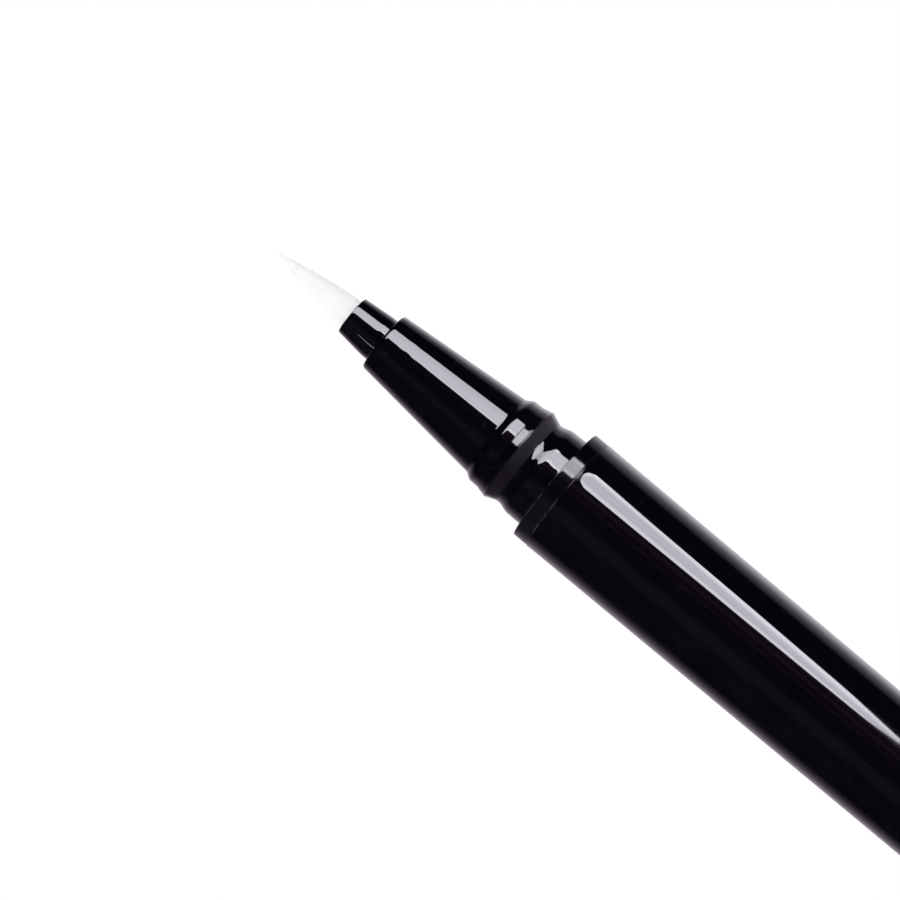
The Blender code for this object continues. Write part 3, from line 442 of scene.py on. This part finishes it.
def make_brush_core():
    """The bonded root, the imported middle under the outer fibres, and the closed point."""
    def flank(height):
        share = (height - HOLDER_FRONT) / (BRUSH_TIP - HOLDER_FRONT)
        cover = ease((share - 0.5) / 0.35)
        return (BRUSH_RADIUS - 0.018 * (1.0 - cover)) * brush_width(share) + 0.02 * cover

    outline = [
        (0.002, BRUSH_TIP),
        *follow(flank, BRUSH_TIP - 0.08, HOLDER_FRONT, 0.2),
        (BRUSH_RADIUS, HOLDER_FRONT - 0.5),
        (BRUSH_RADIUS, BRUSH_ROOT + 0.02),
        (PIPE_HOLE_RADIUS, BRUSH_ROOT + 0.02),
        (PIPE_HOLE_RADIUS, 111.0),
        (0.002, 111.0),
    ]
    return lathe("pen_brush_core", outline, None, 64)


# Materials

class Graph:
    """Short calls for building a node tree."""

    def __init__(self, tree):
        self.tree = tree

    def node(self, kind, **settings):
        made = self.tree.nodes.new(kind)
        for key, value in settings.items():
            setattr(made, key, value)
        return made

    def join(self, source, target):
        self.tree.links.new(source, target)

    def math(self, operation, *values):
        made = self.node("ShaderNodeMath", operation=operation)
        for slot, value in zip(made.inputs, values):
            if isinstance(value, (int, float)):
                slot.default_value = value
            else:
                self.join(value, slot)
        return made.outputs[0]

    def spread(self, value, low, high, to_low, to_high, smooth=False):
        made = self.node("ShaderNodeMapRange")
        made.interpolation_type = "SMOOTHSTEP" if smooth else "LINEAR"
        self.join(value, made.inputs["Value"])
        limits = {"From Min": low, "From Max": high, "To Min": to_low, "To Max": to_high}
        for name, number in limits.items():
            made.inputs[name].default_value = number
        return made.outputs["Result"]

    def blend(self, share, first, second):
        made = self.node("ShaderNodeMix", data_type="RGBA")
        self.join(share, made.inputs["Factor"])
        for name, value in (("A_Color", first), ("B_Color", second)):
            slot = next(i for i in made.inputs if i.identifier == name)
            if isinstance(value, tuple):
                slot.default_value = (*value, 1.0)
            else:
                self.join(value, slot)
        return next(o for o in made.outputs if o.identifier == "Result_Color")

    def noise(self, scale, stretch=(1.0, 1.0, 1.0), detail=2.0):
        place = self.node("ShaderNodeTexCoord").outputs["Object"]
        if stretch != (1.0, 1.0, 1.0):
            mapping = self.node("ShaderNodeMapping")
            mapping.inputs["Scale"].default_value = stretch
            self.join(place, mapping.inputs["Vector"])
            place = mapping.outputs["Vector"]
        made = self.node("ShaderNodeTexNoise")
        made.inputs["Scale"].default_value = scale
        made.inputs["Detail"].default_value = detail
        self.join(place, made.inputs["Vector"])
        return made.outputs["Fac"]

    def bump(self, height, distance, before=None):
        made = self.node("ShaderNodeBump")
        made.inputs["Strength"].default_value = 1.0
        made.inputs["Distance"].default_value = distance
        self.join(height, made.inputs["Height"])
        if before:
            self.join(before, made.inputs["Normal"])
        return made.outputs["Normal"]


def new_look(name):
    look = bpy.data.materials.new(name)
    look.use_nodes = True
    return look, Graph(look.node_tree), look.node_tree.nodes["Principled BSDF"]


def gloss_black(name, rough, skin=1.0, grain=0.0, wear_and_highlight_edges=None):
    """Polished black moulding: faint smears, fine lengthwise hairlines, a little dust."""
    look, graph, shader = new_look(name)
    shader.inputs["IOR"].default_value = 1.5 if skin else 1.7
    shader.inputs["Coat Weight"].default_value = skin
    shader.inputs["Coat IOR"].default_value = 1.6
    shader.inputs["Coat Roughness"].default_value = 0.02
    cloud = graph.noise(260.0)
    colour = graph.blend(cloud, (0.0006, 0.0004, 0.0011), (0.0020, 0.0015, 0.0030))
    hair = graph.noise(5200.0, (1.0, 1.0, 0.02))
    specks = graph.spread(graph.noise(3900.0, detail=0.0), 0.80, 0.86, 0.0, 1.0)
    colour = graph.blend(graph.math("MULTIPLY", specks, 0.18), colour, (0.05, 0.05, 0.055))
    # Light dashes on the edges: partly wear, partly a painted edge highlight.
    if wear_and_highlight_edges:
        colour = graph.blend(wear_and_edge_highlight(graph, wear_and_highlight_edges), colour, (0.03, 0.03, 0.034))
    graph.join(colour, shader.inputs["Base Color"])
    smear = graph.spread(cloud, 0.3, 0.7, rough * 0.85, rough * 1.2)
    spread = graph.math("ADD", smear, graph.spread(hair, 0.35, 0.7, 0.0, rough * 0.3))
    graph.join(spread, shader.inputs["Roughness"])
    normal = graph.bump(hair, 1.2e-7)
    if grain:
        normal = graph.bump(graph.noise(14000.0, detail=3.0), grain, before=normal)
    graph.join(normal, shader.inputs["Normal"])
    return look


def wear_and_edge_highlight(graph, heights):
    """Short light dashes along the edges at the given heights, partly wear and partly a painted
    edge highlight, stronger on the -X side.
    """
    place = graph.node("ShaderNodeTexCoord").outputs["Object"]
    parts = graph.node("ShaderNodeSeparateXYZ")
    graph.join(place, parts.inputs[0])
    total = None
    for height in heights:
        off = graph.math("ABSOLUTE", graph.math("SUBTRACT", parts.outputs["Z"], height * MM))
        band = graph.spread(off, 0.00002, 0.00005, 1.0, 0.0)
        total = band if total is None else graph.math("MAXIMUM", total, band)
    dashes = graph.spread(graph.noise(1500.0, detail=3.0), 0.47, 0.56, 0.0, 1.0)
    # Stronger on the -X side because the painted edge highlight falls there, not because of wear.
    highlight_side = graph.spread(parts.outputs["X"], -0.001, 0.0015, 1.0, 0.12, True)
    return graph.math("MULTIPLY", graph.math("MULTIPLY", total, dashes), highlight_side)


def plain_look(name, dark, light, rough, size, bump, metallic=0.0, subsurface=0.0):
    """A moulded, turned or spun surface with a fine cloud in its colour and gloss."""
    look, graph, shader = new_look(name)
    shader.inputs["Metallic"].default_value = metallic
    if subsurface:
        shader.inputs["Subsurface Weight"].default_value = subsurface
        shader.inputs["Subsurface Scale"].default_value = 0.0008
    cloud = graph.noise(size, detail=3.0)
    graph.join(graph.blend(cloud, dark, light), shader.inputs["Base Color"])
    graph.join(graph.spread(cloud, 0.3, 0.7, rough * 0.8, rough * 1.25), shader.inputs["Roughness"])
    graph.join(graph.bump(graph.noise(size * 6.0), bump), shader.inputs["Normal"])
    return look


def fibre_look():
    """Undyed fibre: nearly white, a little warmer and greyer between the strands, where the grey is
    painted shade.
    """
    look, graph, shader = new_look("white_fibre")
    shader.inputs["Roughness"].default_value = 0.9
    shader.inputs["Specular IOR Level"].default_value = 0.05
    strands = graph.noise(7000.0, (1.0, 1.0, 0.03))
    patches = graph.noise(420.0, detail=3.0)
    patch_tone_and_strand_shade = graph.math("MULTIPLY", patches, 0.4)
    patch_tone_and_strand_shade = graph.math("ADD", graph.math("MULTIPLY", strands, 0.6), patch_tone_and_strand_shade)
    share = graph.spread(patch_tone_and_strand_shade, 0.35, 0.62, 0.0, 1.0)
    # Painted shade: the darker colour goes in the streaks between the strands, while the patches
    # are random tone.
    colour = graph.blend(share, (0.748, 0.764, 0.716), (0.792, 0.807, 0.757))
    graph.join(colour, shader.inputs["Base Color"])
    graph.join(graph.bump(strands, 3e-6), shader.inputs["Normal"])
    return look


# Stage

def aim_camera():
    ahead = (CAMERA_AIM - CAMERA_PLACE).normalized()
    level_right = ahead.cross(Vector((0.0, 0.0, 1.0))).normalized()
    level_up = level_right.cross(ahead)
    cos, sin = math.cos(CAMERA_ROLL), math.sin(CAMERA_ROLL)
    right = level_right * cos - level_up * sin
    up = level_right * sin + level_up * cos
    data = bpy.data.cameras.new("camera")
    data.sensor_width = SENSOR
    data.lens = SENSOR * FOCAL_PIXELS / FRAME_PIXELS
    camera = bpy.data.objects.new("camera", data)
    turned = Matrix((right, up, -ahead)).transposed().to_4x4()
    camera.matrix_world = Matrix.Translation(CAMERA_PLACE) @ turned
    bpy.context.scene.collection.objects.link(camera)
    bpy.context.scene.camera = camera


def direction(azimuth, elevation):
    turn, lift = math.radians(azimuth), math.radians(elevation)
    level = math.cos(lift)
    return Vector((math.sin(turn) * level, -math.cos(turn) * level, math.sin(lift)))


def make_lamp():
    """A flat glowing panel. Its rounded outline is what the polished black reflects."""
    ahead = direction(*LAMP_CENTRE)
    right = Vector((0.0, 0.0, 1.0)).cross(ahead).normalized()
    up = ahead.cross(right)
    shape = bmesh.new()
    corners = []
    for azimuth, elevation in LAMP_OUTLINE:
        ray = direction(azimuth, elevation)
        reach = LAMP_DISTANCE / ray.dot(ahead)
        off = ray * reach - ahead * LAMP_DISTANCE
        corners.append(shape.verts.new((off.dot(right), off.dot(up), 0.0)))
    shape.faces.new(corners)
    lamp = mesh_piece("key_lamp", shape)
    turned = Matrix((right, up, ahead)).transposed().to_4x4()
    lamp.matrix_world = Matrix.Translation(LAMP_EYE + ahead * LAMP_DISTANCE) @ turned
    lamp.visible_camera = False
    look = bpy.data.materials.new("lamp_cloth")
    look.use_nodes = True
    graph = Graph(look.node_tree)
    look.node_tree.nodes.clear()
    out = graph.node("ShaderNodeOutputMaterial")
    glow = graph.node("ShaderNodeEmission")
    glow.inputs["Color"].default_value = (*LAMP_COLOUR, 1.0)
    parts = graph.node("ShaderNodeSeparateXYZ")
    graph.join(graph.node("ShaderNodeTexCoord").outputs["Object"], parts.inputs[0])
    x, y = parts.outputs["X"], parts.outputs["Y"]
    high = graph.spread(y, -0.6, -0.3, 0.0, 1.0, True)
    left = graph.spread(graph.math("ADD", x, y), -1.11, -0.81, 0.45, 0.0, True)
    slant = graph.math("MULTIPLY_ADD", y, -3.3, x)
    right = graph.spread(slant, 2.68, 3.12, 0.0, 0.6, True)
    right = graph.math("MULTIPLY", right, graph.math("SUBTRACT", 1.0, high))
    rims = graph.math("ADD", graph.math("ADD", left, right), 1.0)
    dimmer = graph.math("MULTIPLY", graph.spread(x, -0.2, 1.05, 0.0, 0.2), high)
    level = graph.math("MULTIPLY", rims, graph.math("SUBTRACT", 1.0, dimmer))
    level = graph.math("MULTIPLY", level, graph.spread(y, 0.35, 1.0, 1.0, 0.6, True))
    level = graph.math("MULTIPLY", level, graph.spread(y, -0.675, -0.65, 0.875, 1.0))
    folds = graph.spread(graph.noise(13.0, (1.0, 0.03, 1.0)), 0.3, 0.7, 0.88, 1.10)
    strength = graph.math("MULTIPLY", graph.math("MULTIPLY", level, folds), LAMP_STRENGTH)
    graph.join(strength, glow.inputs["Strength"])
    graph.join(glow.outputs[0], out.inputs["Surface"])
    lamp.data.materials.append(look)


def make_floor():
    shape = bmesh.new()
    bmesh.ops.create_grid(shape, x_segments=4, y_segments=4, size=3.0)
    floor = mesh_piece("floor", shape)
    floor.location.z = -0.00002
    look, graph, shader = new_look("pale_floor")
    shader.inputs["Roughness"].default_value = 0.8
    colour = graph.blend(graph.noise(18.0), (0.68, 0.695, 0.67), (0.72, 0.735, 0.71))
    graph.join(colour, shader.inputs["Base Color"])
    floor.data.materials.append(look)
    floor.visible_glossy = False


def make_world():
    """White to the camera. Mirrored: a white sweep behind, a dark room in front, strips below."""
    world = bpy.data.worlds.new("room")
    bpy.context.scene.world = world
    world.use_nodes = True
    world.node_tree.nodes.clear()
    graph = Graph(world.node_tree)
    rays = graph.node("ShaderNodeLightPath")
    parts = graph.node("ShaderNodeSeparateXYZ")
    graph.join(graph.node("ShaderNodeTexCoord").outputs["Generated"], parts.inputs[0])
    x, y, z = parts.outputs
    turned = graph.math("ADD", y, graph.math("MULTIPLY", x, 0.07))
    behind = graph.math("POWER", graph.spread(turned, 0.31, 0.81, 0.0, 1.0), 1.06)
    behind = graph.math("MULTIPLY", behind, graph.math("MULTIPLY_ADD", x, 0.15, 0.38))
    more = graph.spread(y, 0.56, 0.9, 0.0, 0.65)
    more = graph.math("MULTIPLY", more, graph.spread(x, -0.5, 0.5, 0.25, 1.0))
    behind = graph.math("MULTIPLY", behind, graph.math("ADD", more, 1.0))
    low = graph.spread(z, 0.15, 0.6, 1.0, 0.0, True)
    front = graph.spread(y, -0.3, 0.1, 1.0, 0.0)
    red = graph.spread(x, 0.0, 0.5, 0.15, 1.0)
    red = graph.math("MULTIPLY", red, graph.spread(x, 0.55, 0.75, 1.0, 0.0, True))
    red = graph.math("MULTIPLY", graph.math("MULTIPLY", red, front), low)
    broad = graph.math("SINE", graph.math("MULTIPLY_ADD", x, 28.6, -1.98))
    fine = graph.math("SINE", graph.math("MULTIPLY", x, 97.0))
    lines = graph.math("MULTIPLY_ADD", broad, 0.45, 0.75)
    lines = graph.math("MULTIPLY_ADD", fine, 0.2, lines)
    red = graph.math("MULTIPLY", red, lines)
    blue = graph.spread(x, -0.78, -0.66, 0.0, 1.0, True)
    blue = graph.math("MULTIPLY", blue, graph.spread(x, -0.48, -0.34, 1.0, 0.0, True))
    blue = graph.math("MULTIPLY", graph.math("MULTIPLY", blue, front), low)
    dim = graph.blend(red, (0.004, 0.004, 0.006), (0.070, 0.048, 0.064))
    dim = graph.blend(blue, dim, (0.036, 0.031, 0.052))
    across = graph.spread(x, -0.5, 0.5, 0.0, 1.0)
    white = graph.blend(across, (1.03, 0.86, 1.03), (1.0, 0.945, 1.05))
    mirror = graph.blend(behind, dim, white)
    across = graph.spread(x, -0.6, 0.6, 0.0, 1.0)
    ground = graph.blend(across, (0.085, 0.070, 0.092), (0.26, 0.235, 0.27))
    mirror = graph.blend(graph.spread(z, -0.02, -0.25, 0.0, 1.0, True), mirror, ground)
    turn = graph.math("ARCTAN2", x, graph.math("MULTIPLY", y, -1.0))
    tall = graph.spread(z, -0.52, -0.36, 0.0, 1.0, True)
    tall = graph.math("MULTIPLY", tall, graph.spread(z, -0.03, 0.016, 1.0, 0.0))
    for low_edge, high_edge, blur, glow in STRIPS:
        strip = graph.math(
            "MULTIPLY",
            graph.spread(turn, low_edge, low_edge + blur, 0.0, 1.0, True),
            graph.spread(turn, high_edge - blur, high_edge, 1.0, 0.0, True),
        )
        tint = (glow, 0.95 * glow, 1.05 * glow)
        mirror = graph.blend(graph.math("MULTIPLY", strip, tall), mirror, tint)
    seen = graph.node("ShaderNodeBackground")
    seen.inputs["Color"].default_value = (1.0, 1.0, 1.0, 1.0)
    gloss = graph.node("ShaderNodeBackground")
    graph.join(mirror, gloss.inputs["Color"])
    soft = graph.node("ShaderNodeBackground")
    soft.inputs["Color"].default_value = (0.995, 0.97, 1.02, 1.0)
    fill = graph.math("SUBTRACT", graph.math("MULTIPLY", y, -0.26), graph.math("MULTIPLY", x, 0.97))
    fill = graph.spread(fill, 0.4, 1.0, 0.0, 4.3, True)
    sweep = graph.math("SUBTRACT", graph.math("MULTIPLY", y, 0.94), graph.math("MULTIPLY", x, 0.34))
    sweep = graph.spread(sweep, 0.3, 0.9, 0.0, 1.7, True)
    return_light = graph.spread(x, 0.25, 0.95, 0.0, 0.3, True)
    sides = graph.math("ADD", graph.math("ADD", fill, sweep), return_light)
    sides = graph.math("MULTIPLY", sides, graph.spread(z, 0.2, 0.7, 1.0, 0.0, True))
    overhead = graph.spread(z, 0.3, 1.0, 0.03, 0.6)
    graph.join(graph.math("ADD", sides, overhead), soft.inputs["Strength"])
    glossy, through = rays.outputs["Is Glossy Ray"], rays.outputs["Is Transmission Ray"]
    shiny = graph.math("MAXIMUM", glossy, through)
    first = graph.node("ShaderNodeMixShader")
    graph.join(shiny, first.inputs[0])
    graph.join(soft.outputs[0], first.inputs[1])
    graph.join(gloss.outputs[0], first.inputs[2])
    second = graph.node("ShaderNodeMixShader")
    graph.join(rays.outputs["Is Camera Ray"], second.inputs[0])
    graph.join(first.outputs[0], second.inputs[1])
    graph.join(seen.outputs[0], second.inputs[2])
    out = graph.node("ShaderNodeOutputWorld")
    graph.join(second.outputs[0], out.inputs["Surface"])


def dress_inside():
    """The pieces that the casing hides keep their solids and get their own surfaces."""
    natural = plain_look(
        "natural_polypropylene", (0.68, 0.70, 0.70), (0.76, 0.78, 0.78), 0.36, 900.0, 2e-6, 0.0, 0.2
    )
    acetal = plain_look("white_acetal", (0.76, 0.76, 0.74), (0.83, 0.83, 0.81), 0.32, 1200.0, 1e-6)
    steel = plain_look(
        "ball_steel", (0.50, 0.51, 0.53), (0.60, 0.61, 0.63), 0.13, 2500.0, 2e-7, 1.0
    )
    rubber = plain_look(
        "seal_rubber", (0.016, 0.016, 0.018), (0.026, 0.026, 0.028), 0.6, 2600.0, 3e-6
    )
    looks = {
        "feed_pipe": natural, "ball_seat": natural, "tank": natural,
        "pipe_joint": acetal, "piston": acetal, "screw_rod": acetal, "thread_nut": acetal,
        "drive_sleeve": acetal, "click_ring": acetal, "ratchet_ring": acetal,
        "seal_ball": steel, "mixing_ball_1": steel, "mixing_ball_2": steel,
        "neck_seal": rubber,
    }
    for name, look in looks.items():
        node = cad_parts[name]
        node.data.materials.clear()
        node.data.materials.append(look)


def main():
    bpy.context.scene.view_settings.view_transform = "Standard"
    aim_camera()
    make_world()
    make_lamp()
    make_floor()
    polished = gloss_black("polished_black", 0.035, wear_and_highlight_edges=(BARREL_FRONT - 0.03,))
    nose = gloss_black("polished_black_nose", 0.035)
    tube = gloss_black("holder_black", 0.05)
    collar = gloss_black("collar_black", 0.045)
    dull = gloss_black("satin_black", 0.09, 0.0, 3e-7, (RING_FRONT - 0.03, BARREL_FRONT + 0.03))
    fibre = fibre_look()
    place_in_row(make_barrel(), "case", "barrel", polished)
    place_in_row(make_knob(), "turning_tail", "knob", polished)
    place_in_row(make_ring(), "case", "shoulder_ring", dull)
    place_in_row(make_neck(), "case", "neck_collar", collar)
    place_in_row(make_nose_cone(), "case", "nose_cone", nose)
    place_in_row(make_brush_holder(), "case", "brush_holder", tube)
    place_in_row(make_fibres(), "case", "brush_tuft", fibre)
    place_in_row(make_brush_core(), "case", "brush_tuft", fibre)
    dress_inside()


main()
